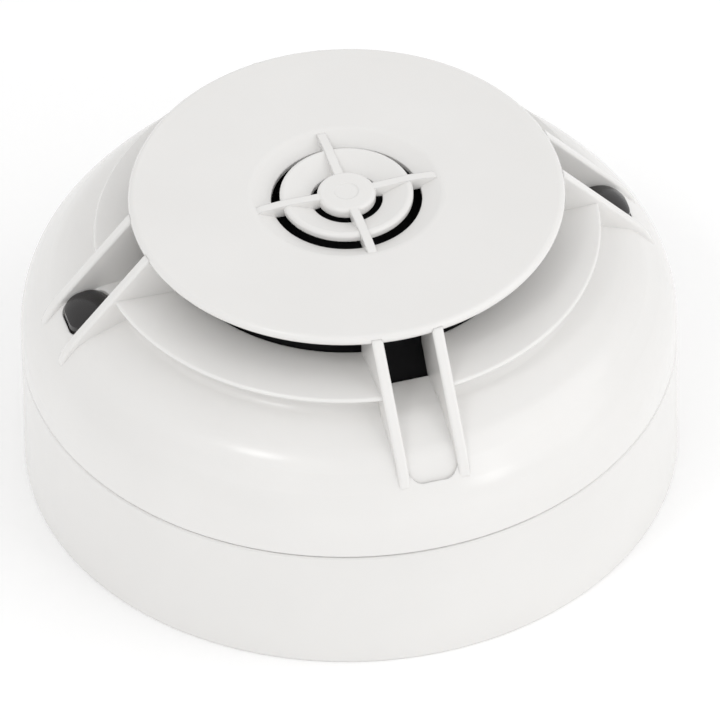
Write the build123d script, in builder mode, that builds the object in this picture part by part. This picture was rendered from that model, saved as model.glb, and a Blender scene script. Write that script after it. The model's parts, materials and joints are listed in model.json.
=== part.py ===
"""Low-profile heat detector: a plug-in sensing head twisted into a round mounting base.

Millimetres, +Z up. The origin is the centre of the base's flat back face, and the head faces +Z.
"""

import os
from math import atan2, cos, degrees, radians, sin, sqrt, tan

from build123d import *

os.makedirs("parts", exist_ok=True)

# Envelope
outer_r = 51.0
wall = 2.0
edge_break = 0.25

# Mounting base
rim_z = 21.95
floor_t = 2.5
cable_r = 13.0
cable_rim_t = 1.6
cable_rim_h = 1.8
slot_centre = 30.0
slot_travel = 10.0
slot_width = 4.4
slot_pad = 2.2
pad_h = 1.0
rib_count = 8
rib_t = 1.2
rib_h = 2.6
rib_start_r = 16.0

# Terminal stations: screw, clamp and spring fork, one every quarter turn
terminal_count = 4
terminal_start = 45.0
screw_r = 24.0
fork_r = 31.0
pillar_z = 6.0
pillar_width = 8.4
pillar_margin = 2.0
strip_t = 0.6
strip_width = 7.0
strip_in_r = 20.0
clamp_side = 6.6
clamp_t = 1.0
clamp_corner = 0.5
terminal_shank_r = 1.5
terminal_head_r = 3.0
terminal_head_h = 2.0
terminal_head_round = 0.6
terminal_recess = (4.2, 2.6, 0.8, 1.0)
screw_hole_floor = 1.0
screw_gap = 0.02
clearance_hole = 0.2
blade_t = 0.8
fork_gap = 0.1
fork_leaf_t = 0.5
fork_h = 6.2
fork_half_angle = 5.5
blade_half_angle = 4.5
blade_lift = 0.8
blade_tail_angle = 1.8
blade_tail_proud = 0.6

# Bayonet: lugs on the head turn under ledges in the base
bayonet_count = 3
bayonet_start = 30.0
skirt_in_r = 43.0
skirt_out_r = 45.0
lug_out_r = 47.8
lug_root = 0.5
lug_z = 9.0
lug_t = 2.0
lug_half_angle = 6.0
ledge_in_r = 45.4
ledge_t = 2.0
bayonet_gap = 0.3
ledge_ends = (-8.4, 8.0)
stop_gap_angle = 0.4
stop_width_angle = 2.0

# Head chassis and circuit board
chassis_z = 14.0
chassis_t = 2.0
chassis_r = 46.4
chassis_rim_h = 5.0
chassis_rim_t = 1.2
board_z = 19.0
board_t = 1.6
board_r = 41.5
board_screw_r = 34.0
board_screw_count = 3
board_post_r = 2.6
board_screw_shank_r = 1.0
board_screw_head_r = 2.0
board_screw_head_h = 1.3
board_screw_round = 0.4
board_screw_length = 5.0
board_screw_cross = (2.2, 0.5, 0.7)
board_hole_depth = 4.0
board_notch = 0.7

# Components on the board
controller_y = -14.0
controller_side = 10.0
controller_h = 1.4
controller_stand = 0.15
pins_per_side = 8
pin_pitch = 1.0
pin_size = (0.35, 1.4, 0.5)
crystal_at = (12.0, -16.0)
crystal_size = (8.0, 3.6, 2.6)
capacitor_at = ((-28.0, 8.0), (-28.0, 16.0))
capacitor_radius = 3.15
capacitor_h = 7.0
rectifier_at = (28.0, -11.0)
rectifier_size = (6.2, 4.8, 2.4)
suppressor_at = (28.0, 9.0)
suppressor_size = (5.6, 3.8, 2.2)
package_corner = 0.3
reed_y = 20.0
reed_radius = 1.1
reed_half_length = 7.0
reed_end_round = 0.8
reed_rest = 0.2
reed_lead_radius = 0.3
reed_lead_reach = 9.0

# Cover screws, from the chassis up into bosses inside the cover
boss_count = 4
boss_start = 45.0
boss_r = 40.0
boss_outer = 3.0
cover_shank_r = 1.2
cover_head_r = 2.4
cover_head_h = 1.2
cover_head_round = 0.4
cover_screw_grip = 8.0
cover_hole_depth = 9.0
cover_screw_cross = (2.6, 0.6, 0.7)

# Cover: wall, shoulder, brow, sloping crown, cove, neck and flange
cover_z = 22.1
tongue_drop = 1.7
tongue_gap = 0.3
tongue_t = 1.8
tongue_slope = 0.6
wall_top_z = 24.0
shoulder_corner_z = 29.5
shoulder_round = 12.0
brow_corner = (45.2, 37.05)
brow_round = 8.0
cove_start = (38.0, 40.07)
inner_shoulder_z = 28.8
inner_shoulder_round = 10.0
inner_brow_corner = (44.0, 35.4)
inner_brow_round = 6.0
neck_r = 36.6
neck_step = 0.4
flange_r = 39.3
flange_z = 44.25
flange_in_r = 28.0
flange_dish = 0.35
flange_t = 1.6
lip_t = 0.75

# Channels: a pair of fins either side of each, one every quarter turn
channel_count = 4
fin_pitch = 9.6
fin_t = 1.8
fin_top_z = 51.4
fin_slope = 1.155
fin_nose_r = 45.7
fin_tip = (48.0, 33.2)
fin_in_r = 27.4
fin_root = 1.1
fin_round = 0.45
channel_floor_in = (31.4, 39.9)
channel_floor_bend = (38.4, 39.25)
channel_sink = 0.5
channel_bend_round = 9.0
channel_brow_round = 5.0
channel_end_r = 47.9
lens_channel_end_r = 45.35
channel_corner = 2.5
channel_side = 0.3
floor_plate_t = 1.8

# Top disc with the central grille
disc_r = 33.8
disc_top = 52.0
disc_t = 1.8
recess_r = 14.8
recess_in_r = 11.7
recess_z = 50.6
recess_round = 0.6
recess_edge_drop = 0.16
recess_lip_t = 0.8
recess_back_r = 15.8
ring_out_r = 10.35
ring_crest_r = 9.9
ring_crest_z = 52.2
ring_crest_round = 0.55
ring_out_h = 1.3
ring_in_r = 5.6
ring_in_z = 50.6
ring_t = 0.8
hub_r = 4.55
hub_t = 1.6
hub_round = 0.6
hub_dish_r = 1.95
hub_dish = 0.12
hub_dish_edge = 0.15
spoke_width = 1.45
spoke_end_r = 14.5
spoke_end_z = 52.0
spoke_z = 52.3
spoke_root = 0.4
spoke_end_round = 0.6

# Sensor cage under the disc
cage_foot_z = 38.9
cage_foot_r = 31.2
cage_knee_z = 43.6
cage_knee_r = 27.7
cage_top_z = 50.15
cage_top_r = 26.4
cage_t = 1.2
cage_gap = 0.1
cage_flange_r = 33.2
cage_window_w = 9.5
cage_window_z = (45.0, 49.4)
cage_window_count = 12
cage_window_reach = 8.0

# Thermistors, standing up into the air gap on two sides
thermistor_r = 20.0
thermistor_angles = (45.0, 225.0)
thermistor_z = 46.6
bead_r = 1.2
bead_length = 4.2
lead_r = 0.25
lead_pitch = 1.27
guide_r = 1.9
guide_round = 0.8
guide_clear = 0.1
guide_stand = 3.0
bead_round = 0.9
lead_hole = 0.15

# Status lenses, which fill the ends of the left and right channels
lens_in_r = 38.0
lens_corner = 2.6
lens_gap = 0.15
lens_bottom_z = 33.4
lens_top_z = 41.4
lens_crown_r = 41.6
lens_crown_z = 36.6
lens_crown = (4.5, 6.2, 3.0)
lens_tilt = 14.0
light_pipe_r = 39.4
light_pipe_radius = 1.3
light_pipe_z = 25.6
led_radius = 1.5
led_rim = 0.3
led_rim_h = 0.8
led_height = 4.0

# Rotary address switches, set from behind
dial_x = 8.5
dial_radius = 4.2
dial_z = 13.3
dial_opening_gap = 0.3
dial_slot = (5.6, 1.0, 0.9)
shaft_radius = 1.5
shaft_gap = 0.05
shaft_length = 2.4
dial_gap = 0.2
dial_chamfer = 0.3
dial_arrow_r = 0.9
switch_side = 10.4
switch_corner = 0.5
switch_z = 16.2


def polar(radius, azimuth):
    """The point at this radius and azimuth, in degrees."""
    return (radius * cos(radians(azimuth)), radius * sin(radians(azimuth)))


def radial_plane(azimuth):
    """The upright plane through the axis: local x is the radius and local y the height."""
    outward = Vector(*polar(1, azimuth))
    return Plane(origin=(0, 0, 0), x_dir=outward, z_dir=outward.cross(Vector(0, 0, 1)))


def spaced(count, start):
    """Equally spaced azimuths round the axis."""
    return [start + 360 / count * index for index in range(count)]


def ring_sector(inner, outer, start, end):
    """A flat piece of a ring between two radii and two azimuths."""
    with BuildSketch() as sector:
        with BuildLine():
            CenterArc((0, 0), inner, start, end - start)
            Line(polar(inner, end), polar(outer, end))
            CenterArc((0, 0), outer, start, end - start)
            Line(polar(outer, start), polar(inner, start))
        make_face()
    return sector.sketch


def save(piece, name):
    """Label a finished piece and write its own STEP file."""
    piece.label = name
    export_step(piece, f"parts/{name}.step")


# ---------------------------------------------------------------- mounting base

base_in_r = outer_r - wall
ledge_z = lug_z + lug_t + bayonet_gap
terminal_angles = spaced(terminal_count, terminal_start)

with BuildPart() as mounting_base:
    with BuildSketch(Plane.XZ):
        with BuildLine():
            Polyline(
                (cable_r, 0),
                (outer_r - edge_break, 0),
                (outer_r, edge_break),
                (outer_r, rim_z - edge_break),
                (outer_r - edge_break, rim_z),
                (base_in_r, rim_z),
                (base_in_r, floor_t),
                (cable_r + cable_rim_t, floor_t),
                (cable_r + cable_rim_t, floor_t + cable_rim_h),
                (cable_r, floor_t + cable_rim_h),
                close=True,
            )
        make_face()
    revolve(axis=Axis.Z)
    # stiffening ribs across the floor
    with BuildSketch(Plane.XY.offset(floor_t)):
        with PolarLocations((rib_start_r + base_in_r) / 2, rib_count, start_angle=180 / rib_count):
            Rectangle(base_in_r - rib_start_r + wall, rib_t)
    extrude(amount=rib_h)
    # raised pads round the two wall-screw slots
    with BuildSketch(Plane.XY.offset(floor_t)):
        with Locations((slot_centre, 0), (-slot_centre, 0)):
            SlotCenterToCenter(slot_travel, slot_width + 2 * slot_pad)
    extrude(amount=pad_h)
    with BuildSketch(Plane.XY):
        with Locations((slot_centre, 0), (-slot_centre, 0)):
            SlotCenterToCenter(slot_travel, slot_width)
    extrude(amount=floor_t + pad_h, mode=Mode.SUBTRACT)
    # pillars that carry the terminals, with blind screw holes
    pillar_length = fork_r + pillar_margin - strip_in_r
    with BuildSketch(Plane.XY.offset(floor_t)):
        with PolarLocations(strip_in_r + pillar_length / 2, terminal_count, start_angle=terminal_start):
            Rectangle(pillar_length + pillar_margin / 2, pillar_width)
    extrude(amount=pillar_z - floor_t)
    with BuildSketch(Plane.XY.offset(pillar_z)):
        with PolarLocations(screw_r, terminal_count, start_angle=terminal_start):
            Circle(terminal_shank_r)
    extrude(amount=-(pillar_z - screw_hole_floor), mode=Mode.SUBTRACT)
    # bayonet ledges, each hung from the wall
    for azimuth in spaced(bayonet_count, bayonet_start):
        with BuildSketch(Plane.XY.offset(ledge_z)):
            ledge = ring_sector(
                ledge_in_r, base_in_r + wall / 2, azimuth + ledge_ends[0], azimuth + ledge_ends[1]
            )
            add(ledge)
        extrude(amount=ledge_t)
        # a post under one end stops the lug when the head is locked
        stop_end = azimuth - lug_half_angle - stop_gap_angle
        with BuildSketch(Plane.XY.offset(floor_t)):
            add(ring_sector(ledge_in_r, base_in_r + wall / 2, stop_end - stop_width_angle, stop_end))
        extrude(amount=ledge_z - floor_t)
save(mounting_base.part, "mounting_base")

with BuildPart() as contact_springs:
    leaf_in = fork_r - blade_t / 2 - fork_gap
    leaf_out = fork_r + blade_t / 2 + fork_gap
    strip_top = pillar_z + strip_t
    for azimuth in terminal_angles:
        with BuildSketch(radial_plane(azimuth - fork_half_angle)):
            with BuildLine():
                Polyline(
                    (leaf_in - fork_leaf_t, pillar_z),
                    (leaf_out + fork_leaf_t, pillar_z),
                    (leaf_out + fork_leaf_t, pillar_z + fork_h),
                    (leaf_out, pillar_z + fork_h),
                    (leaf_out, strip_top),
                    (leaf_in, strip_top),
                    (leaf_in, pillar_z + fork_h),
                    (leaf_in - fork_leaf_t, pillar_z + fork_h),
                    close=True,
                )
            make_face()
        revolve(axis=Axis.Z, revolution_arc=2 * fork_half_angle)
    strip_length = leaf_in - strip_in_r
    with BuildSketch(Plane.XY.offset(pillar_z)):
        with PolarLocations(strip_in_r + strip_length / 2, terminal_count, start_angle=terminal_start):
            Rectangle(strip_length, strip_width)
        with PolarLocations(screw_r, terminal_count, start_angle=terminal_start):
            Circle(terminal_shank_r + clearance_hole, mode=Mode.SUBTRACT)
    extrude(amount=strip_t)
save(contact_springs.part, "contact_springs")

clamp_z = pillar_z + strip_t
with BuildPart() as clamp_plates:
    with BuildSketch(Plane.XY.offset(clamp_z)):
        with PolarLocations(screw_r, terminal_count, start_angle=terminal_start):
            RectangleRounded(clamp_side, clamp_side, clamp_corner)
            Circle(terminal_shank_r + clearance_hole, mode=Mode.SUBTRACT)
    extrude(amount=clamp_t)
save(clamp_plates.part, "clamp_plates")

screw_seat_z = clamp_z + clamp_t
with BuildPart() as terminal_screws:
    with BuildSketch(Plane.XY.offset(screw_seat_z)):
        with PolarLocations(screw_r, terminal_count, start_angle=terminal_start):
            Circle(terminal_head_r)
    extrude(amount=terminal_head_h)
    fillet(terminal_screws.edges().group_by(Axis.Z)[-1], terminal_head_round)
    with BuildSketch(Plane.XY.offset(screw_seat_z)):
        with PolarLocations(screw_r, terminal_count, start_angle=terminal_start):
            Circle(terminal_shank_r - screw_gap)
    extrude(amount=-(screw_seat_z - screw_hole_floor - blade_lift / 2))
    # cross recess and slot
    with BuildSketch(Plane.XY.offset(screw_seat_z + terminal_head_h)):
        with PolarLocations(screw_r, terminal_count, start_angle=terminal_start):
            Rectangle(terminal_recess[0], terminal_recess[2])
            Rectangle(terminal_recess[2], terminal_recess[1])
    extrude(amount=-terminal_recess[3], mode=Mode.SUBTRACT)
save(terminal_screws.part, "terminal_screws")

# ---------------------------------------------------------------- head chassis

with BuildPart() as chassis:
    with BuildSketch(Plane.XZ):
        with BuildLine():
            Polyline(
                (0, chassis_z),
                (skirt_in_r, chassis_z),
                (skirt_in_r, lug_z),
                (skirt_out_r, lug_z),
                (skirt_out_r, chassis_z),
                (chassis_r, chassis_z),
                (chassis_r, chassis_z + chassis_t + chassis_rim_h),
                (chassis_r - chassis_rim_t, chassis_z + chassis_t + chassis_rim_h),
                (chassis_r - chassis_rim_t, chassis_z + chassis_t),
                (0, chassis_z + chassis_t),
                close=True,
            )
        make_face()
    revolve(axis=Axis.Z)
    for azimuth in spaced(bayonet_count, bayonet_start):
        with BuildSketch(Plane.XY.offset(lug_z)):
            add(ring_sector(skirt_out_r - lug_root, lug_out_r, azimuth - lug_half_angle, azimuth + lug_half_angle))
        extrude(amount=lug_t)
    # posts for the circuit board
    with BuildSketch(Plane.XY.offset(chassis_z + chassis_t)):
        with PolarLocations(board_screw_r, board_screw_count, start_angle=90):
            Circle(board_post_r)
    extrude(amount=board_z - chassis_z - chassis_t)
    with BuildSketch(Plane.XY.offset(board_z)):
        with PolarLocations(board_screw_r, board_screw_count, start_angle=90):
            Circle(board_screw_shank_r)
    extrude(amount=-board_hole_depth, mode=Mode.SUBTRACT)
    # openings for the address dials, the contact blades and the cover screws
    with BuildSketch(Plane.XY.offset(chassis_z)):
        with Locations((dial_x, 0), (-dial_x, 0)):
            Circle(dial_radius + dial_opening_gap)
        with PolarLocations(boss_r, boss_count, start_angle=boss_start):
            Circle(cover_shank_r + clearance_hole)
        for azimuth in terminal_angles:
            add(
                ring_sector(
                    fork_r - blade_t / 2 - fork_gap,
                    fork_r + blade_t / 2 + fork_gap,
                    azimuth - blade_half_angle - clearance_hole,
                    azimuth + blade_half_angle + clearance_hole,
                )
            )
    extrude(amount=chassis_t, mode=Mode.SUBTRACT)
save(chassis.part, "chassis")

with BuildPart() as contact_blades:
    for azimuth in terminal_angles:
        blade = ring_sector(
            fork_r - blade_t / 2, fork_r + blade_t / 2, azimuth - blade_half_angle, azimuth + blade_half_angle
        )
        with BuildSketch(Plane.XY.offset(pillar_z + strip_t + blade_lift)):
            add(blade)
        extrude(amount=board_z - pillar_z - strip_t - blade_lift)
        # a narrower tail goes through the board
        tail = ring_sector(
            fork_r - blade_t / 2, fork_r + blade_t / 2, azimuth - blade_tail_angle, azimuth + blade_tail_angle
        )
        with BuildSketch(Plane.XY.offset(board_z)):
            add(tail)
        extrude(amount=board_t + blade_tail_proud)
save(contact_blades.part, "contact_blades")

# ---------------------------------------------------------------- circuit board and what it carries

board_top = board_z + board_t
with BuildPart() as circuit_board:
    with BuildSketch(Plane.XY.offset(board_z)):
        Circle(board_r)
        with PolarLocations(boss_r, boss_count, start_angle=boss_start):
            Circle(boss_outer + board_notch, mode=Mode.SUBTRACT)
        with PolarLocations(boss_r + boss_outer, boss_count, start_angle=boss_start):
            Rectangle(2 * boss_outer, 2 * (boss_outer + board_notch), mode=Mode.SUBTRACT)
        with PolarLocations(board_screw_r, board_screw_count, start_angle=90):
            Circle(board_screw_shank_r + clearance_hole, mode=Mode.SUBTRACT)
        for azimuth in terminal_angles:
            tail_slot = ring_sector(
                fork_r - blade_t / 2 - clearance_hole,
                fork_r + blade_t / 2 + clearance_hole,
                azimuth - blade_tail_angle - 2 * clearance_hole,
                azimuth + blade_tail_angle + 2 * clearance_hole,
            )
            add(tail_slot, mode=Mode.SUBTRACT)
        for azimuth in thermistor_angles:
            with Locations(Location((*polar(thermistor_r, azimuth), 0), azimuth)):
                with Locations((0, lead_pitch), (0, -lead_pitch)):
                    Circle(lead_r + lead_hole, mode=Mode.SUBTRACT)
    extrude(amount=board_t)
save(circuit_board.part, "circuit_board")

with BuildPart() as board_screws:
    with BuildSketch(Plane.XY.offset(board_top)):
        with PolarLocations(board_screw_r, board_screw_count, start_angle=90):
            Circle(board_screw_head_r)
    extrude(amount=board_screw_head_h)
    fillet(board_screws.edges().group_by(Axis.Z)[-1], board_screw_round)
    with BuildSketch(Plane.XY.offset(board_top)):
        with PolarLocations(board_screw_r, board_screw_count, start_angle=90):
            Circle(board_screw_shank_r - screw_gap)
    extrude(amount=-board_screw_length)
    with BuildSketch(Plane.XY.offset(board_top + board_screw_head_h)):
        with PolarLocations(board_screw_r, board_screw_count, start_angle=90):
            Rectangle(board_screw_cross[0], board_screw_cross[1])
            Rectangle(board_screw_cross[1], board_screw_cross[0])
    extrude(amount=-board_screw_cross[2], mode=Mode.SUBTRACT)
save(board_screws.part, "board_screws")

with BuildPart() as microcontroller:
    with BuildSketch(Plane.XY.offset(board_top + controller_stand)):
        with Locations((0, controller_y)):
            RectangleRounded(controller_side, controller_side, package_corner)
    extrude(amount=controller_h)
    pin_offset = (controller_side + pin_size[1] / 2) / 2 + controller_stand
    with BuildSketch(Plane.XY.offset(board_top)):
        with Locations((0, controller_y + pin_offset), (0, controller_y - pin_offset)):
            with GridLocations(pin_pitch, 0, pins_per_side, 1):
                Rectangle(pin_size[0], pin_size[1])
        with Locations((pin_offset, controller_y), (-pin_offset, controller_y)):
            with GridLocations(0, pin_pitch, 1, pins_per_side):
                Rectangle(pin_size[1], pin_size[0])
    extrude(amount=pin_size[2])
save(microcontroller.part, "microcontroller")

with BuildPart() as crystal:
    with BuildSketch(Plane.XY.offset(board_top)):
        with Locations(crystal_at):
            SlotOverall(crystal_size[0], crystal_size[1], rotation=90)
    extrude(amount=crystal_size[2])
    fillet(crystal.edges().group_by(Axis.Z)[-1], package_corner)
save(crystal.part, "crystal")

with BuildPart() as storage_capacitors:
    with BuildSketch(Plane.XY.offset(board_top)):
        with Locations(*capacitor_at):
            Circle(capacitor_radius)
    extrude(amount=capacitor_h)
    fillet(storage_capacitors.edges().group_by(Axis.Z)[-1], package_corner)
save(storage_capacitors.part, "storage_capacitors")

with BuildPart() as bridge_rectifier:
    with BuildSketch(Plane.XY.offset(board_top)):
        with Locations(rectifier_at):
            RectangleRounded(rectifier_size[0], rectifier_size[1], package_corner)
    extrude(amount=rectifier_size[2])
save(bridge_rectifier.part, "bridge_rectifier")

with BuildPart() as surge_suppressor:
    with BuildSketch(Plane.XY.offset(board_top)):
        with Locations(suppressor_at):
            RectangleRounded(suppressor_size[0], suppressor_size[1], package_corner)
    extrude(amount=suppressor_size[2])
save(surge_suppressor.part, "surge_suppressor")

reed_z = board_top + reed_radius + reed_rest
with BuildPart() as reed_switch:
    with BuildSketch(Plane.YZ):
        with Locations((reed_y, reed_z)):
            Circle(reed_radius)
    extrude(amount=reed_half_length, both=True)
    fillet(reed_switch.edges(), reed_end_round)
    with BuildSketch(Plane.YZ):
        with Locations((reed_y, reed_z)):
            Circle(reed_lead_radius)
    extrude(amount=reed_lead_reach, both=True)
save(reed_switch.part, "reed_switch")

for side, name in ((1, "led_right"), (-1, "led_left")):
    with BuildPart() as led:
        with BuildSketch(Plane.XY.offset(board_top)):
            with Locations((side * light_pipe_r, 0)):
                Circle(led_radius + led_rim)
        extrude(amount=led_rim_h)
        with BuildSketch(Plane.XY.offset(board_top + led_rim_h)):
            with Locations((side * light_pipe_r, 0)):
                Circle(led_radius)
        extrude(amount=led_height - led_rim_h)
        fillet(led.edges().group_by(Axis.Z)[-1], led_radius - led_rim / 2)
    save(led.part, name)

# ---------------------------------------------------------------- thermistors

with BuildPart() as lead_guides:
    for azimuth in thermistor_angles:
        with BuildSketch(Plane.XY.offset(board_top)):
            with Locations(Location((*polar(thermistor_r, azimuth), 0), azimuth)):
                RectangleRounded(2 * guide_r, 2 * guide_r + lead_pitch, guide_round)
                with Locations((0, lead_pitch), (0, -lead_pitch)):
                    Circle(lead_r + guide_clear, mode=Mode.SUBTRACT)
        extrude(amount=cage_foot_z + guide_stand - board_top)
save(lead_guides.part, "lead_guides")

with BuildPart() as thermistor_leads:
    for azimuth in thermistor_angles:
        with BuildSketch(Plane.XY.offset(board_z - blade_tail_proud)):
            with Locations(Location((*polar(thermistor_r, azimuth), 0), azimuth)):
                with Locations((0, lead_pitch), (0, -lead_pitch)):
                    Circle(lead_r)
        extrude(amount=thermistor_z - board_z + blade_tail_proud)
save(thermistor_leads.part, "thermistor_leads")

with BuildPart() as thermistor_beads:
    for azimuth in thermistor_angles:
        with BuildSketch(Plane.XY.offset(thermistor_z)):
            with Locations(Location((*polar(thermistor_r, azimuth), 0), azimuth)):
                SlotOverall(bead_length, 2 * bead_r, rotation=90)
        extrude(amount=bead_r * 2)
    fillet(thermistor_beads.edges().group_by(Axis.Z)[-1], bead_round)
save(thermistor_beads.part, "thermistor_beads")

# ---------------------------------------------------------------- sensor cage

cage_flange_z = channel_floor_in[1] - floor_plate_t - cage_t
with BuildPart() as sensor_cage:
    with BuildSketch(Plane.XZ):
        with BuildLine():
            Polyline(
                (cage_foot_r - cage_t, cage_flange_z),
                (cage_flange_r, cage_flange_z),
                (cage_flange_r, cage_flange_z + cage_t),
                (cage_foot_r, cage_flange_z + cage_t),
                (cage_foot_r, cage_foot_z),
                (cage_knee_r, cage_knee_z),
                (cage_top_r, cage_top_z),
                (cage_top_r - cage_t, cage_top_z),
                (cage_knee_r - cage_t, cage_knee_z),
                (cage_foot_r - 2 * cage_t, cage_foot_z + cage_t),
                (0, cage_foot_z + cage_t),
                (0, cage_foot_z),
                (cage_foot_r - cage_t, cage_foot_z),
                close=True,
            )
        make_face()
    revolve(axis=Axis.Z)
    # windows that let the air through to the thermistors
    for azimuth in spaced(cage_window_count, 0):
        with BuildSketch(radial_plane(azimuth).offset(-cage_window_w / 2)):
            with Locations((cage_top_r, sum(cage_window_z) / 2)):
                Rectangle(cage_window_reach, cage_window_z[1] - cage_window_z[0])
        extrude(amount=cage_window_w, mode=Mode.SUBTRACT)
    with BuildSketch(Plane.XY.offset(cage_foot_z)):
        for azimuth in thermistor_angles:
            with Locations(Location((*polar(thermistor_r, azimuth), 0), azimuth)):
                RectangleRounded(
                    2 * (guide_r + cage_gap), 2 * (guide_r + cage_gap) + lead_pitch, guide_round + cage_gap
                )
    extrude(amount=cage_t, mode=Mode.SUBTRACT)
save(sensor_cage.part, "sensor_cage")

# ---------------------------------------------------------------- outer cover

crown_slope = (cove_start[1] - brow_corner[1]) / (brow_corner[0] - cove_start[0])
shoulder_slope = (brow_corner[1] - shoulder_corner_z) / (outer_r - brow_corner[0])
# the cove is an arc that turns from the crown's slope to straight up
cove_chord = radians((degrees(atan2(crown_slope, -1)) + 90) / 2)
cove_end = (neck_r, cove_start[1] - (cove_start[0] - neck_r) * tan(cove_chord))
neck_in_r = neck_r - wall
inner_neck_z = inner_brow_corner[1] + crown_slope * (inner_brow_corner[0] - neck_in_r)
tongue_r = base_in_r - tongue_gap
fin_angles = spaced(channel_count, 0)
rim_r = disc_t / 2
fin_shoulder_r = disc_r - fin_round / 2
fin_nose_z = fin_top_z - fin_slope * (fin_nose_r - fin_shoulder_r)

with BuildPart() as fin:
    # one fin on the XZ plane, from under the disc down to the shoulder, where it fades out
    with BuildSketch(Plane.XZ.offset(-fin_t / 2)):
        with BuildLine():
            Polyline((fin_in_r, fin_top_z), (fin_shoulder_r, fin_top_z), (fin_nose_r, fin_nose_z))
            TangentArc((fin_nose_r, fin_nose_z), fin_tip, tangent=(1, -fin_slope))
            Polyline(
                fin_tip,
                (fin_tip[0] - fin_root, fin_tip[1] - fin_root / 2),
                (brow_corner[0] - fin_root, brow_corner[1] - fin_root),
                (neck_r, cove_start[1] - fin_root / 2),
                (channel_floor_in[0], channel_floor_in[1] - floor_plate_t),
                (fin_in_r, channel_floor_in[1] - floor_plate_t),
                (fin_in_r, fin_top_z),
            )
        make_face()
    extrude(amount=fin_t)
    fillet(fin.edges().sort_by(SortBy.LENGTH)[-2:], fin_round)

# the line of the channel's floor: level under the disc, then sunk a little below the dome
crown_lean = atan2(crown_slope, 1)
shoulder_lean = atan2(shoulder_slope, 1)
mid_lean = (crown_lean + shoulder_lean) / 2
sink_reach = channel_sink / cos((shoulder_lean - crown_lean) / 2)
channel_brow = (brow_corner[0] - sink_reach * sin(mid_lean), brow_corner[1] - sink_reach * cos(mid_lean))
channel_low = (channel_end_r, channel_brow[1] - shoulder_slope * (channel_end_r - channel_brow[0]))
channel_width = fin_pitch - fin_t
lens_length = lens_channel_end_r - lens_gap - lens_in_r
lens_centre_r = lens_in_r + lens_length / 2

channel_cuts = []
for end_r in (channel_end_r, lens_channel_end_r):
    with BuildPart() as channel_cut:
        # the space of one channel, from under the disc to the rounded step in the shoulder
        with BuildSketch(Plane.XZ.offset(-channel_width / 2 - channel_side)):
            with BuildLine():
                FilletPolyline(
                    channel_floor_in,
                    channel_floor_bend,
                    channel_brow,
                    channel_low,
                    radius=(channel_bend_round, channel_brow_round),
                )
                Polyline(
                    channel_low,
                    (channel_end_r, disc_top),
                    (fin_in_r - 1, disc_top),
                    (fin_in_r - 1, channel_floor_in[1]),
                    channel_floor_in,
                )
            make_face()
        extrude(amount=channel_width + 2 * channel_side)
        with BuildSketch(Plane.XY.offset(wall_top_z)):
            with Locations((end_r / 2, 0)):
                RectangleRounded(end_r, channel_width + 2 * channel_side, channel_corner)
        extrude(amount=disc_top - wall_top_z, mode=Mode.INTERSECT)
    channel_cuts.append(channel_cut.part)

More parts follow.
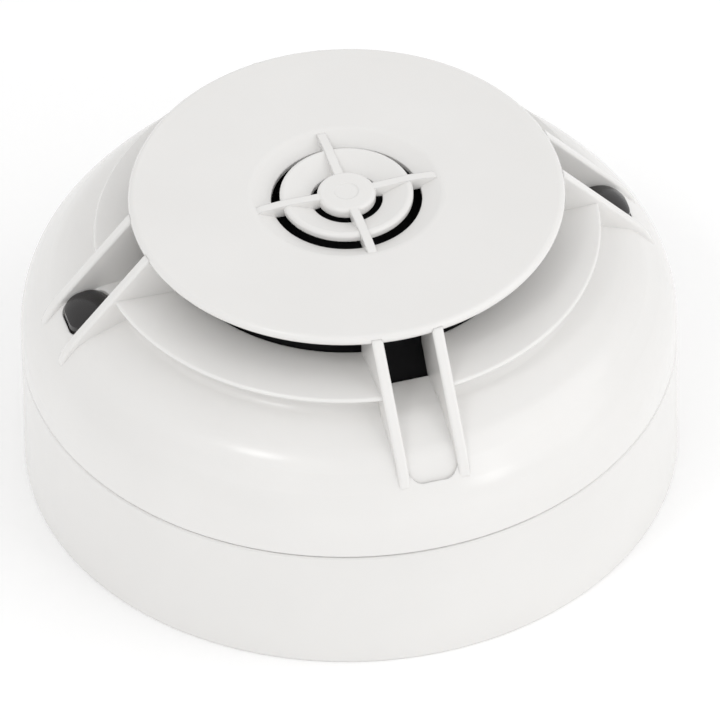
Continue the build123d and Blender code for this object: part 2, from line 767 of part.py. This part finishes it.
with BuildPart() as outer_cover:
    with BuildSketch(Plane.XZ):
        with BuildLine():
            Line((outer_r, cover_z + edge_break), (outer_r, wall_top_z))
            FilletPolyline(
                (outer_r, wall_top_z),
                (outer_r, shoulder_corner_z),
                brow_corner,
                cove_start,
                radius=(shoulder_round, brow_round),
            )
            TangentArc(cove_start, cove_end, tangent=(-1, crown_slope))
            Polyline(
                cove_end,
                (neck_r, flange_z - lip_t - neck_step),
                (neck_r + neck_step, flange_z - lip_t),
                (flange_r - lip_t / 2, flange_z - lip_t),
            )
            ThreePointArc(
                (flange_r - lip_t / 2, flange_z - lip_t),
                (flange_r, flange_z - lip_t / 2),
                (flange_r - lip_t / 2, flange_z),
            )
            Polyline(
                (flange_r - lip_t / 2, flange_z),
                (flange_in_r, flange_z - flange_dish),
                (flange_in_r, flange_z - flange_dish - flange_t),
                (neck_in_r, flange_z - flange_dish - flange_t),
                (neck_in_r, inner_neck_z),
            )
            FilletPolyline(
                (neck_in_r, inner_neck_z),
                inner_brow_corner,
                (base_in_r, inner_shoulder_z),
                (base_in_r, wall_top_z),
                radius=(inner_brow_round, inner_shoulder_round),
            )
            Polyline(
                (base_in_r, wall_top_z),
                (tongue_r - tongue_t, wall_top_z - tongue_slope),
                (tongue_r - tongue_t, cover_z - tongue_drop),
                (tongue_r, cover_z - tongue_drop),
                (tongue_r, cover_z),
                (outer_r - edge_break, cover_z),
                (outer_r, cover_z + edge_break),
            )
        make_face()
    revolve(axis=Axis.Z)
    # the channel's floor runs in under the disc as a plate
    for azimuth in fin_angles:
        with BuildSketch(radial_plane(azimuth).offset(-(fin_pitch + fin_t) / 2)):
            with BuildLine():
                Polyline(
                    channel_floor_in,
                    channel_floor_bend,
                    (channel_floor_bend[0], inner_neck_z - floor_plate_t + edge_break),
                    (neck_in_r, channel_floor_in[1] - floor_plate_t),
                    (channel_floor_in[0], channel_floor_in[1] - floor_plate_t),
                    close=True,
                )
            make_face()
        extrude(amount=fin_pitch + fin_t)
    for azimuth, cut in zip(fin_angles, channel_cuts[::-1] * 2):
        with Locations(Location((0, 0, 0), azimuth)):
            add(cut, mode=Mode.SUBTRACT)
    with PolarLocations(0, channel_count):
        with Locations((0, fin_pitch / 2, 0), (0, -fin_pitch / 2, 0)):
            add(fin.part)
    # the disc's edge and the cage are let into the fins
    with BuildSketch(Plane.XZ):
        with BuildLine():
            Line((0, disc_top - disc_t), (disc_r - rim_r, disc_top - disc_t))
            ThreePointArc(
                (disc_r - rim_r, disc_top - disc_t), (disc_r, disc_top - rim_r), (disc_r - rim_r, disc_top)
            )
            Polyline((disc_r - rim_r, disc_top), (0, disc_top), (0, disc_top - disc_t))
        make_face()
    revolve(axis=Axis.Z, mode=Mode.SUBTRACT)
    with BuildSketch(Plane.XZ):
        with BuildLine():
            Polyline(
                (0, cage_flange_z),
                (cage_foot_r + cage_gap, cage_flange_z),
                (cage_foot_r + cage_gap, cage_foot_z),
                (cage_knee_r + cage_gap, cage_knee_z),
                (cage_top_r + cage_gap, cage_top_z + cage_gap),
                (0, cage_top_z + cage_gap),
                close=True,
            )
        make_face()
    revolve(axis=Axis.Z, mode=Mode.SUBTRACT)
    # screw bosses hang from the crown
    boss_top_z = inner_brow_corner[1] + crown_slope * (inner_brow_corner[0] - boss_r) + wall / 2
    with BuildSketch(Plane.XY.offset(chassis_z + chassis_t)):
        with PolarLocations(boss_r, boss_count, start_angle=boss_start):
            Circle(boss_outer)
    extrude(amount=boss_top_z - chassis_z - chassis_t - wall / 4)
    with BuildSketch(Plane.XY.offset(chassis_z + chassis_t)):
        with PolarLocations(boss_r, boss_count, start_angle=boss_start):
            Circle(cover_shank_r)
    extrude(amount=cover_hole_depth, mode=Mode.SUBTRACT)
    # seats for the two status lenses
    with BuildSketch(Plane.XY.offset(lens_bottom_z - wall)):
        with Locations((lens_centre_r, 0), (-lens_centre_r, 0)):
            RectangleRounded(lens_length + 2 * lens_gap, channel_width, lens_corner + lens_gap)
    extrude(amount=lens_top_z + wall - lens_bottom_z, mode=Mode.SUBTRACT)
save(outer_cover.part, "outer_cover")

with BuildPart() as cover_screws:
    with BuildSketch(Plane.XY.offset(chassis_z)):
        with PolarLocations(boss_r, boss_count, start_angle=boss_start):
            Circle(cover_head_r)
    extrude(amount=-cover_head_h)
    fillet(cover_screws.edges().group_by(Axis.Z)[0], cover_head_round)
    with BuildSketch(Plane.XY.offset(chassis_z)):
        with PolarLocations(boss_r, boss_count, start_angle=boss_start):
            Circle(cover_shank_r - screw_gap)
    extrude(amount=chassis_t + cover_screw_grip)
    with BuildSketch(Plane.XY.offset(chassis_z - cover_head_h)):
        with PolarLocations(boss_r, boss_count, start_angle=boss_start):
            Rectangle(cover_screw_cross[0], cover_screw_cross[1])
            Rectangle(cover_screw_cross[1], cover_screw_cross[0])
    extrude(amount=cover_screw_cross[2], mode=Mode.SUBTRACT)
save(cover_screws.part, "cover_screws")

# ---------------------------------------------------------------- top disc and grille

with BuildPart() as top_disc:
    with BuildSketch(Plane.XZ):
        with BuildLine():
            Line((recess_back_r, disc_top - disc_t), (disc_r - rim_r, disc_top - disc_t))
            ThreePointArc(
                (disc_r - rim_r, disc_top - disc_t), (disc_r, disc_top - rim_r), (disc_r - rim_r, disc_top)
            )
            Line((disc_r - rim_r, disc_top), (recess_r + recess_round, disc_top))
            TangentArc(
                (recess_r + recess_round, disc_top),
                (recess_r - recess_round / 3, disc_top - recess_edge_drop),
                tangent=(-1, 0),
            )
            Polyline(
                (recess_r - recess_round / 3, disc_top - recess_edge_drop),
                (recess_in_r, recess_z),
                (recess_in_r, recess_z - recess_lip_t),
                (recess_in_r + recess_lip_t, recess_z - recess_lip_t),
                (recess_back_r, disc_top - disc_t),
            )
        make_face()
    revolve(axis=Axis.Z)
    # dished louvre ring with a rounded crest
    with BuildSketch(Plane.XZ):
        with BuildLine():
            Line(
                (ring_in_r, ring_in_z), (ring_crest_r - ring_crest_round, ring_crest_z - ring_crest_round / 4)
            )
            ThreePointArc(
                (ring_crest_r - ring_crest_round, ring_crest_z - ring_crest_round / 4),
                (ring_crest_r, ring_crest_z - ring_crest_round / 6),
                (ring_out_r, ring_crest_z - ring_crest_round),
            )
            Polyline(
                (ring_out_r, ring_crest_z - ring_crest_round),
                (ring_out_r, ring_crest_z - ring_out_h),
                (ring_crest_r - ring_crest_round, ring_crest_z - ring_out_h - ring_crest_round / 2),
                (ring_in_r, ring_in_z - ring_t),
                (ring_in_r, ring_in_z),
            )
        make_face()
    revolve(axis=Axis.Z)
    # hub with a shallow dish
    hub_shoulder = hub_round * (1 - sqrt(0.5))
    with BuildSketch(Plane.XZ):
        with BuildLine():
            Polyline(
                (0, ring_crest_z - hub_t),
                (hub_r, ring_crest_z - hub_t),
                (hub_r, ring_crest_z - hub_round),
            )
            ThreePointArc(
                (hub_r, ring_crest_z - hub_round),
                (hub_r - hub_shoulder, ring_crest_z - hub_shoulder),
                (hub_r - hub_round, ring_crest_z),
            )
            Polyline(
                (hub_r - hub_round, ring_crest_z),
                (hub_dish_r, ring_crest_z),
                (hub_dish_r - hub_dish_edge, ring_crest_z - hub_dish),
                (0, ring_crest_z - hub_dish),
                (0, ring_crest_z - hub_t),
            )
        make_face()
    revolve(axis=Axis.Z)
    for azimuth in fin_angles:
        with BuildSketch(radial_plane(azimuth).offset(-spoke_width / 2)):
            with BuildLine():
                Polyline(
                    (hub_r - hub_round - spoke_root, recess_z),
                    (hub_r - hub_round - spoke_root, ring_crest_z - hub_dish),
                    (ring_crest_r, spoke_z),
                    (spoke_end_r - spoke_end_round, spoke_end_z),
                    (spoke_end_r, spoke_end_z - spoke_end_round / 2),
                    (recess_in_r + spoke_root, recess_z - spoke_root),
                    (ring_in_r, ring_in_z - spoke_root),
                    close=True,
                )
            make_face()
        extrude(amount=spoke_width)
save(top_disc.part, "top_disc")

# ---------------------------------------------------------------- status lenses

for side, name in ((1, "lens_right"), (-1, "lens_left")):
    with BuildPart() as lens:
        with BuildSketch(Plane.XY.offset(lens_bottom_z)):
            with Locations((side * lens_centre_r, 0)):
                RectangleRounded(lens_length, channel_width - 2 * lens_gap, lens_corner)
        extrude(amount=lens_top_z - lens_bottom_z)
        crown = scale(Solid.make_sphere(1.0, angle1=-90), by=lens_crown, mode=Mode.PRIVATE)
        crown = Location((side * lens_crown_r, 0, lens_crown_z), (0, side * lens_tilt, 0)) * crown
        add(crown, mode=Mode.INTERSECT)
        with BuildSketch(Plane.XY.offset(light_pipe_z)):
            with Locations((side * light_pipe_r, 0)):
                Circle(light_pipe_radius)
        extrude(amount=lens_crown_z - light_pipe_z)
    save(lens.part, name)

# ---------------------------------------------------------------- rotary address switches

for side, place in ((1, "units"), (-1, "tens")):
    with BuildPart() as switch:
        with BuildSketch(Plane.XY.offset(switch_z)):
            with Locations((side * dial_x, 0)):
                RectangleRounded(switch_side, switch_side, switch_corner)
                Circle(shaft_radius + shaft_gap, mode=Mode.SUBTRACT)
        extrude(amount=board_z - switch_z)
    save(switch.part, f"address_switch_{place}")

    with BuildPart() as dial:
        with BuildSketch(Plane.XY.offset(dial_z)):
            with Locations((side * dial_x, 0)):
                Circle(dial_radius)
        extrude(amount=switch_z - dial_gap - dial_z)
        chamfer(dial.edges().group_by(Axis.Z)[0], dial_chamfer)
        with BuildSketch(Plane.XY.offset(dial_z)):
            with Locations((side * dial_x, 0)):
                Rectangle(dial_slot[0], dial_slot[1])
            # an arrow point at one end of the slot shows the setting
            with Locations((side * dial_x + dial_slot[0] / 2 - dial_arrow_r / 2, 0)):
                RegularPolygon(dial_arrow_r, 3)
        extrude(amount=dial_slot[2], mode=Mode.SUBTRACT)
        with BuildSketch(Plane.XY.offset(switch_z - dial_gap)):
            with Locations((side * dial_x, 0)):
                Circle(shaft_radius)
        extrude(amount=shaft_length)
    save(dial.part, f"address_dial_{place}")
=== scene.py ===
"""Heat detector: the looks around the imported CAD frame.

Metres, +Z up, the detector standing on its back face.
"""

import json
import math

import bmesh
import bpy
from mathutils import Matrix, Vector


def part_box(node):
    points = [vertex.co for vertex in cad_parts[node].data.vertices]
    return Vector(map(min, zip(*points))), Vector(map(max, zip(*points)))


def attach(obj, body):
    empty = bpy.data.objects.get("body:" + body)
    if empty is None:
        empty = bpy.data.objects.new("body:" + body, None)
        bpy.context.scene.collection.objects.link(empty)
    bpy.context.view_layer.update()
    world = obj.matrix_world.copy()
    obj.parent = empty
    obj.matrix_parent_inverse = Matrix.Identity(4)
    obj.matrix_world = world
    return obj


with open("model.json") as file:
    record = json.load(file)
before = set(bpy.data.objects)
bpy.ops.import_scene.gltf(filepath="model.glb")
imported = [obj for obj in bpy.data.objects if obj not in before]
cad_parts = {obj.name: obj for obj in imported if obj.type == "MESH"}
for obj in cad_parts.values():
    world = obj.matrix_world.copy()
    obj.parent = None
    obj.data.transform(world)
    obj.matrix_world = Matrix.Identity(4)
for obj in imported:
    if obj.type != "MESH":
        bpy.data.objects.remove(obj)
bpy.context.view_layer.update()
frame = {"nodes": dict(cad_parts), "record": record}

MM = 0.001
SCENE = bpy.context.scene

# ---------------------------------------------------------------- camera

CAMERA_AZIMUTH = math.radians(-105.5)
CAMERA_ELEVATION = math.radians(42.304)
CAMERA_DISTANCE = 3.10885
CAMERA_PIVOT_Z = 0.025
CAMERA_TARGET = (0.00161, 0.0, 0.0167)
CAMERA_ROLL = -0.01859
CAMERA_LENS = 1000.0
CAMERA_SENSOR = 36.0
CAMERA_CLIP = (0.1, 20.0)


def make_camera():
    """A long lens far away, above and in front, as the object is photographed."""
    data = bpy.data.cameras.new("camera")
    data.lens = CAMERA_LENS
    data.sensor_width = CAMERA_SENSOR
    data.clip_start, data.clip_end = CAMERA_CLIP
    camera = bpy.data.objects.new("camera", data)
    SCENE.collection.objects.link(camera)
    flat = CAMERA_DISTANCE * math.cos(CAMERA_ELEVATION)
    height = CAMERA_PIVOT_Z + CAMERA_DISTANCE * math.sin(CAMERA_ELEVATION)
    place = Vector((flat * math.cos(CAMERA_AZIMUTH), flat * math.sin(CAMERA_AZIMUTH), height))
    turn = Matrix.Rotation(CAMERA_AZIMUTH + math.pi / 2, 3, "Z")
    target = turn @ Vector(CAMERA_TARGET)
    aim = (target - place).to_track_quat("-Z", "Y").to_matrix()
    roll = Matrix.Rotation(CAMERA_ROLL, 3, "Z")
    camera.matrix_world = Matrix.Translation(place) @ (aim @ roll).to_4x4()
    SCENE.camera = camera


# ---------------------------------------------------------------- materials

RAMP_LOW, RAMP_HIGH = 0.3, 0.7
BEVEL_SAMPLES = 6
MOULD_EDGE = 0.3 * MM
MOULD_TEXTURE = 0.004 * MM
GLOSS_SCALE, GLOSS_DEPTH = 400, 0.005 * MM


def new_material(name):
    """An empty node material with its Principled shader and output."""
    material = bpy.data.materials.new(name)
    material.use_nodes = True
    nodes = material.node_tree.nodes
    nodes.clear()
    output = nodes.new("ShaderNodeOutputMaterial")
    shader = nodes.new("ShaderNodeBsdfPrincipled")
    material.node_tree.links.new(shader.outputs["BSDF"], output.inputs["Surface"])
    return material, shader


def noise(material, scale, detail=3.0, roughness=0.5, stretch=(1, 1, 1)):
    """A noise texture in object coordinates, its scale in features per metre."""
    tree = material.node_tree
    place = tree.nodes.new("ShaderNodeTexCoord")
    mapping = tree.nodes.new("ShaderNodeMapping")
    mapping.inputs["Scale"].default_value = stretch
    texture = tree.nodes.new("ShaderNodeTexNoise")
    texture.inputs["Scale"].default_value = scale
    texture.inputs["Detail"].default_value = detail
    texture.inputs["Roughness"].default_value = roughness
    tree.links.new(place.outputs["Object"], mapping.inputs["Vector"])
    tree.links.new(mapping.outputs["Vector"], texture.inputs["Vector"])
    return texture.outputs["Fac"]


def vary_colour(material, shader, factor, dark, light):
    """Blend the base colour between two shades by a factor."""
    tree = material.node_tree
    ramp = tree.nodes.new("ShaderNodeValToRGB")
    ramp.color_ramp.elements[0].position = RAMP_LOW
    ramp.color_ramp.elements[1].position = RAMP_HIGH
    ramp.color_ramp.elements[0].color = (*dark, 1)
    ramp.color_ramp.elements[1].color = (*light, 1)
    tree.links.new(factor, ramp.inputs["Fac"])
    tree.links.new(ramp.outputs["Color"], shader.inputs["Base Color"])


def vary_roughness(material, shader, factor, low, high):
    """Spread the roughness between two values by a factor."""
    tree = material.node_tree
    spread = tree.nodes.new("ShaderNodeMapRange")
    spread.inputs["To Min"].default_value = low
    spread.inputs["To Max"].default_value = high
    tree.links.new(factor, spread.inputs["Value"])
    tree.links.new(spread.outputs["Result"], shader.inputs["Roughness"])


def add_bump(material, shader, factor, depth, strength=1.0, edge=0.0):
    """Raise the surface by a factor, to a depth, and soften its edges to a radius, both in metres."""
    tree = material.node_tree
    bump = tree.nodes.new("ShaderNodeBump")
    if edge:
        bevel = tree.nodes.new("ShaderNodeBevel")
        bevel.samples = BEVEL_SAMPLES
        bevel.inputs["Radius"].default_value = edge
        tree.links.new(bevel.outputs["Normal"], bump.inputs["Normal"])
    bump.inputs["Strength"].default_value = strength
    bump.inputs["Distance"].default_value = depth
    tree.links.new(factor, bump.inputs["Height"])
    tree.links.new(bump.outputs["Normal"], shader.inputs["Normal"])


def white_plastic(name, dark, light):
    """Satin moulded white plastic: faint cloudiness, fine mould texture, a soft sheen."""
    material, shader = new_material(name)
    vary_colour(material, shader, noise(material, 60, 4), dark, light)
    vary_roughness(material, shader, noise(material, 220, 3), 0.18, 0.24)
    add_bump(material, shader, noise(material, 1500, 2), MOULD_TEXTURE, 0.3, edge=MOULD_EDGE)
    shader.inputs["IOR"].default_value = 1.49
    shader.inputs["Subsurface Weight"].default_value = 0.12
    shader.inputs["Subsurface Radius"].default_value = (1.0, 0.95, 0.9)
    shader.inputs["Subsurface Scale"].default_value = 0.0015
    return material


def dark_plastic(name, dark, light, low, high, bump_scale=1800, bump_depth=0.00003, specular=0.5):
    """Matte moulded plastic with an eroded-mould grain."""
    material, shader = new_material(name)
    vary_colour(material, shader, noise(material, 300, 3), dark, light)
    vary_roughness(material, shader, noise(material, 500, 3), low, high)
    add_bump(material, shader, noise(material, bump_scale, 3), bump_depth, 0.6)
    shader.inputs["Specular IOR Level"].default_value = specular
    return material


def smoked_lens():
    """Polished smoked plastic, almost black, with a clear coat over a little depth."""
    material, shader = new_material("smoked_lens")
    cloud = noise(material, 250, 3)
    vary_colour(material, shader, cloud, (0.012, 0.011, 0.011), (0.02, 0.018, 0.018))
    vary_roughness(material, shader, noise(material, 400, 2), 0.18, 0.28)
    add_bump(material, shader, noise(material, 900, 1), 0.00001, 0.4)
    shader.inputs["Coat Weight"].default_value = 0.2
    shader.inputs["Coat Roughness"].default_value = 0.12
    shader.inputs["IOR"].default_value = 1.46
    return material


def metal(name, dark, light, low, high, scale=900, stretch=(1, 1, 1)):
    """Plated or sprung metal with fine rolling marks and uneven tone."""
    material, shader = new_material(name)
    vary_colour(material, shader, noise(material, scale, 4, stretch=stretch), dark, light)
    vary_roughness(material, shader, noise(material, scale * 2, 3, stretch=stretch), low, high)
    add_bump(material, shader, noise(material, scale * 3, 3, stretch=stretch), 0.000008, 0.5)
    shader.inputs["Metallic"].default_value = 1.0
    return material


MATERIALS = {
    "base_plastic": white_plastic("base_plastic", (0.79, 0.78, 0.765), (0.81, 0.8, 0.785)),
    "cover_plastic": white_plastic("cover_plastic", (0.805, 0.795, 0.78), (0.825, 0.815, 0.8)),
    "black_plastic": dark_plastic(
        "black_plastic", (0.003, 0.003, 0.0035), (0.006, 0.006, 0.007), 0.6, 0.75, specular=0.15
    ),
    "smoked_lens": smoked_lens(),
    "contact_metal": metal("contact_metal", (0.66, 0.52, 0.27), (0.82, 0.68, 0.4), 0.22, 0.4),
    "plated_steel": metal("plated_steel", (0.62, 0.62, 0.64), (0.8, 0.8, 0.82), 0.18, 0.34),
    "board_laminate": dark_plastic(
        "board_laminate", (0.015, 0.12, 0.045), (0.03, 0.2, 0.075), 0.3, 0.45, bump_scale=700
    ),
    "component_black": dark_plastic("component_black", (0.02, 0.02, 0.022), (0.04, 0.04, 0.043), 0.5, 0.65),
    "reed_glass": dark_plastic(
        "reed_glass", (0.5, 0.56, 0.53), (0.62, 0.68, 0.65), 0.05, 0.12, GLOSS_SCALE, GLOSS_DEPTH
    ),
    "led_resin": dark_plastic(
        "led_resin", (0.5, 0.03, 0.025), (0.7, 0.06, 0.05), 0.08, 0.16, GLOSS_SCALE, GLOSS_DEPTH
    ),
    "bead_resin": dark_plastic(
        "bead_resin", (0.03, 0.02, 0.018), (0.06, 0.045, 0.04), 0.15, 0.3, bump_scale=700
    ),
    "solder": metal("solder", (0.6, 0.6, 0.6), (0.78, 0.78, 0.77), 0.2, 0.38, 1400),
    "dial_plastic": dark_plastic("dial_plastic", (0.62, 0.25, 0.05), (0.76, 0.36, 0.08), 0.4, 0.55),
}


def paint_nodes():
    """Give each CAD node that is still shown the material of its slot in the record."""
    for part in frame["record"]["subparts"]:
        node = frame["nodes"][part["node"]]
        node.data.materials.clear()
        node.data.materials.append(MATERIALS[part["material_slot"]])


# ---------------------------------------------------------------- pieces finer than the CAD

SHARP_ANGLE = math.radians(40)
BLADE_SOLDER = ((1.15, 1.75, 0.0), (0.85, 1.45, 0.1), (0.62, 1.2, 0.28), (0.5, 1.05, 0.5), (0.42, 0.98, 0.56))
LEAD_SOLDER = ((0.8, 0.8, 0.0), (0.6, 0.6, -0.12), (0.42, 0.42, -0.3), (0.32, 0.32, -0.5))
DIAL_POSITIONS = 10
MARK_LENGTH, ZERO_MARK_LENGTH = 1.0 * MM, 1.5 * MM
MARK_WIDTH, MARK_HEIGHT, MARK_SOFT = 0.3 * MM, 0.2 * MM, 0.05 * MM
MARK_GAP = 0.6 * MM
MARK_LIFT = 0.66 * MM
SLEEVE_LIP = 0.55 * MM
DOT_INSET = 2.6 * MM
DOT_FORM = ((0.5, 0.5, -0.05), (0.5, 0.5, 0.02), (0.4, 0.4, 0.03))


def add_piece(name, mesh_data, body, slot, material=None):
    """Finish a mesh as a smooth-shaded piece that rides on a body and takes a slot's material."""
    mesh = bpy.data.meshes.new(name)
    mesh_data.to_mesh(mesh)
    mesh_data.free()
    mesh.shade_smooth()
    mesh.set_sharp_from_angle(angle=SHARP_ANGLE)
    mesh.materials.append(material or MATERIALS[slot])
    piece = bpy.data.objects.new(name, mesh)
    SCENE.collection.objects.link(piece)
    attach(piece, body)
    return piece


def add_loft(mesh_data, centre, turn, sections, count=28):
    """Stack closed ellipses (half width, half depth, height) into a capped form about a centre."""
    rings = []
    for half_width, half_depth, height in sections:
        ring = []
        for index in range(count):
            angle = 2 * math.pi * index / count
            x, y = half_width * math.cos(angle), half_depth * math.sin(angle)
            turned_x = x * math.cos(turn) - y * math.sin(turn)
            turned_y = x * math.sin(turn) + y * math.cos(turn)
            ring.append(mesh_data.verts.new(centre + Vector((turned_x, turned_y, height))))
        rings.append(ring)
    for lower, upper in zip(rings, rings[1:]):
        for index in range(count):
            after = (index + 1) % count
            mesh_data.faces.new((lower[index], lower[after], upper[after], upper[index]))
    mesh_data.faces.new(rings[0][::-1])
    mesh_data.faces.new(rings[-1])
    bmesh.ops.recalc_face_normals(mesh_data, faces=mesh_data.faces)


def in_metres(sections):
    """Sections in millimetres as sections in metres."""
    return [tuple(value * MM for value in row) for row in sections]


def add_block(mesh_data, centre, turn, size, soft):
    """A small block with rounded edges, turned about the upright axis."""
    place = Matrix.Translation(centre) @ Matrix.Rotation(turn, 4, "Z") @ Matrix.Diagonal((*size, 1))
    block = bmesh.ops.create_cube(mesh_data, size=1.0, matrix=place)
    edges = list({edge for vert in block["verts"] for edge in vert.link_edges})
    bmesh.ops.bevel(mesh_data, geom=edges, offset=soft, segments=3, profile=0.5, affect="EDGES")


def clusters(node, low, high, reach):
    """Centres of the groups of a node's vertices whose heights lie between two limits."""
    groups = []
    for vert in frame["nodes"][node].data.vertices:
        if low <= vert.co.z <= high:
            for group in groups:
                if (Vector(vert.co[:2]) - Vector(group[0][:2])).length < reach:
                    group.append(vert.co.copy())
                    break
            else:
                groups.append([vert.co.copy()])
    centres = []
    for group in groups:
        corners = [(min(co[axis] for co in group), max(co[axis] for co in group)) for axis in range(2)]
        centres.append(Vector((sum(corners[0]) / 2, sum(corners[1]) / 2, 0)))
    return centres


def make_solder():
    """Solder fillets where the contact blades and the thermistor leads come through the board."""
    board_low, board_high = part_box("circuit_board")
    mounds = bmesh.new()
    blade_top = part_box("contact_blades")[1][2]
    for centre in clusters("contact_blades", blade_top - 0.2 * MM, blade_top, 4 * MM):
        turn = math.atan2(centre.y, centre.x)
        centre.z = board_high[2]
        add_loft(mounds, centre, turn, in_metres(BLADE_SOLDER))
    lead_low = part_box("thermistor_leads")[0][2]
    for centre in clusters("thermistor_leads", lead_low, lead_low + 0.2 * MM, 0.8 * MM):
        centre.z = board_low[2]
        add_loft(mounds, centre, 0, in_metres(LEAD_SOLDER), 16)
    add_piece("solder_joints", mounds, "head", "plated_steel", MATERIALS["solder"])


def make_dial_scale():
    """Ten raised marks moulded on the chassis round each address dial."""
    marks = bmesh.new()
    for node in ("address_dial_tens", "address_dial_units"):
        low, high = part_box(node)
        middle = Vector(((low[0] + high[0]) / 2, (low[1] + high[1]) / 2, low[2] + MARK_LIFT))
        reach = (high[0] - low[0]) / 2
        for index in range(DIAL_POSITIONS):
            turn = 2 * math.pi * index / DIAL_POSITIONS
            length = ZERO_MARK_LENGTH if index == 0 else MARK_LENGTH
            out = Vector((math.cos(turn), math.sin(turn), 0)) * (reach + MARK_GAP + length / 2)
            add_block(marks, middle + out, turn, (length, MARK_WIDTH, MARK_HEIGHT), MARK_SOFT)
    add_piece("dial_marks", marks, "head", "base_plastic")


def make_component_tops():
    """The bare crimped tops of the capacitors and the corner dot on the controller."""
    low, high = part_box("storage_capacitors")
    radius = (high[0] - low[0]) / 2
    lids = bmesh.new()
    for y in (low[1] + radius, high[1] - radius):
        centre = Vector(((low[0] + high[0]) / 2, y, high[2]))
        rim = radius - SLEEVE_LIP
        sections = ((rim, -0.1), (rim, 0.04), (rim - 0.05 * MM, 0.08), (rim - 0.3 * MM, 0.08))
        add_loft(lids, centre, 0, [(reach, reach, height * MM) for reach, height in sections], 40)
    add_piece("capacitor_lids", lids, "head", "plated_steel")
    low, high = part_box("microcontroller")
    dot = bmesh.new()
    centre = Vector((low[0] + DOT_INSET, high[1] - DOT_INSET, high[2]))
    add_loft(dot, centre, 0, in_metres(DOT_FORM))
    add_piece("controller_dot", dot, "head", "component_black")


# ---------------------------------------------------------------- floor and light

FLOOR_HALF = 3.0
FLOOR_GLOW = 0.06
WORLD_STRENGTH = 0.8
LIGHT_AIM = Vector((0, 0, 0.03))


def make_floor():
    """A plain pale floor."""
    mesh = bpy.data.meshes.new("floor")
    corners = [(x * FLOOR_HALF, y * FLOOR_HALF, 0) for x, y in ((-1, -1), (1, -1), (1, 1), (-1, 1))]
    mesh.from_pydata(corners, [], [(0, 1, 2, 3)])
    floor = bpy.data.objects.new("floor", mesh)
    SCENE.collection.objects.link(floor)
    material, shader = new_material("floor")
    vary_colour(material, shader, noise(material, 3, 2), (0.975, 0.975, 0.975), (0.99, 0.99, 0.99))
    vary_roughness(material, shader, noise(material, 8, 2), 0.8, 0.9)
    shader.inputs["Emission Color"].default_value = (1, 1, 1, 1)
    shader.inputs["Emission Strength"].default_value = FLOOR_GLOW
    mesh.materials.append(material)


def area_light(name, azimuth, elevation, size, power, distance=0.95):
    """A soft panel aimed at the middle of the object, its direction in degrees."""
    around, up = math.radians(azimuth), math.radians(elevation)
    flat = distance * math.cos(up)
    place = LIGHT_AIM + Vector((flat * math.cos(around), flat * math.sin(around), distance * math.sin(up)))
    data = bpy.data.lights.new(name, "AREA")
    data.shape = "DISK"
    data.size = size
    data.energy = power
    light = bpy.data.objects.new(name, data)
    SCENE.collection.objects.link(light)
    light.location = place
    light.rotation_euler = (LIGHT_AIM - place).to_track_quat("-Z", "Y").to_euler()


def make_light():
    """An even white surround, a wide key on the right, a broad fill on the left, two small softboxes."""
    world = bpy.data.worlds.new("world")
    SCENE.world = world
    world.use_nodes = True
    background = world.node_tree.nodes["Background"]
    background.inputs["Color"].default_value = (1.0, 1.0, 1.0, 1)
    background.inputs["Strength"].default_value = WORLD_STRENGTH
    area_light("key", -30, 36, 2.0, 7.6, 1.9)
    area_light("fill", -145, 45, 1.6, 2.3, 1.9)
    area_light("right_softbox", -60, 20, 0.2, 0.35)
    area_light("left_softbox", -147, 54, 0.18, 0.6)
    SCENE.view_settings.view_transform = "Standard"
    SCENE.view_settings.look = "None"


make_camera()
paint_nodes()
make_solder()
make_dial_scale()
make_component_tops()
make_floor()
make_light()
